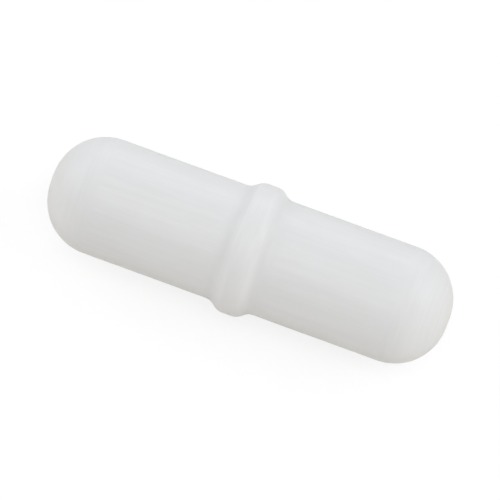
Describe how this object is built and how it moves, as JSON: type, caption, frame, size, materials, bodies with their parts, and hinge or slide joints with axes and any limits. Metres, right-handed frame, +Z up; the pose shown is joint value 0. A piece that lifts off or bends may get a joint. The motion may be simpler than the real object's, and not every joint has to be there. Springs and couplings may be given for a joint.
{
  "type": "magnetic stir bar",
  "caption": "White magnetic stir bar: a straight round barrel with domed ends and a raised pivot ring around its middle, moulded over a sealed magnet rod.",
  "frame": {"origin": "the bar's centre: on its axis, at the middle of the pivot ring", "axes": "+X along the bar's axis, +Z up with the bar lying level on its pivot ring, +Y across the bar"},
  "size_m": [0.028, 0.0092, 0.0092],
  "materials": {
    "ptfe": "smooth waxy satin, slightly translucent",
    "magnet": "bare cast magnet alloy, centreless ground"
  },
  "bodies": {
    "root": {"ptfe_jacket": "ptfe", "magnet_core": "magnet"}
  },
  "joints": []
}
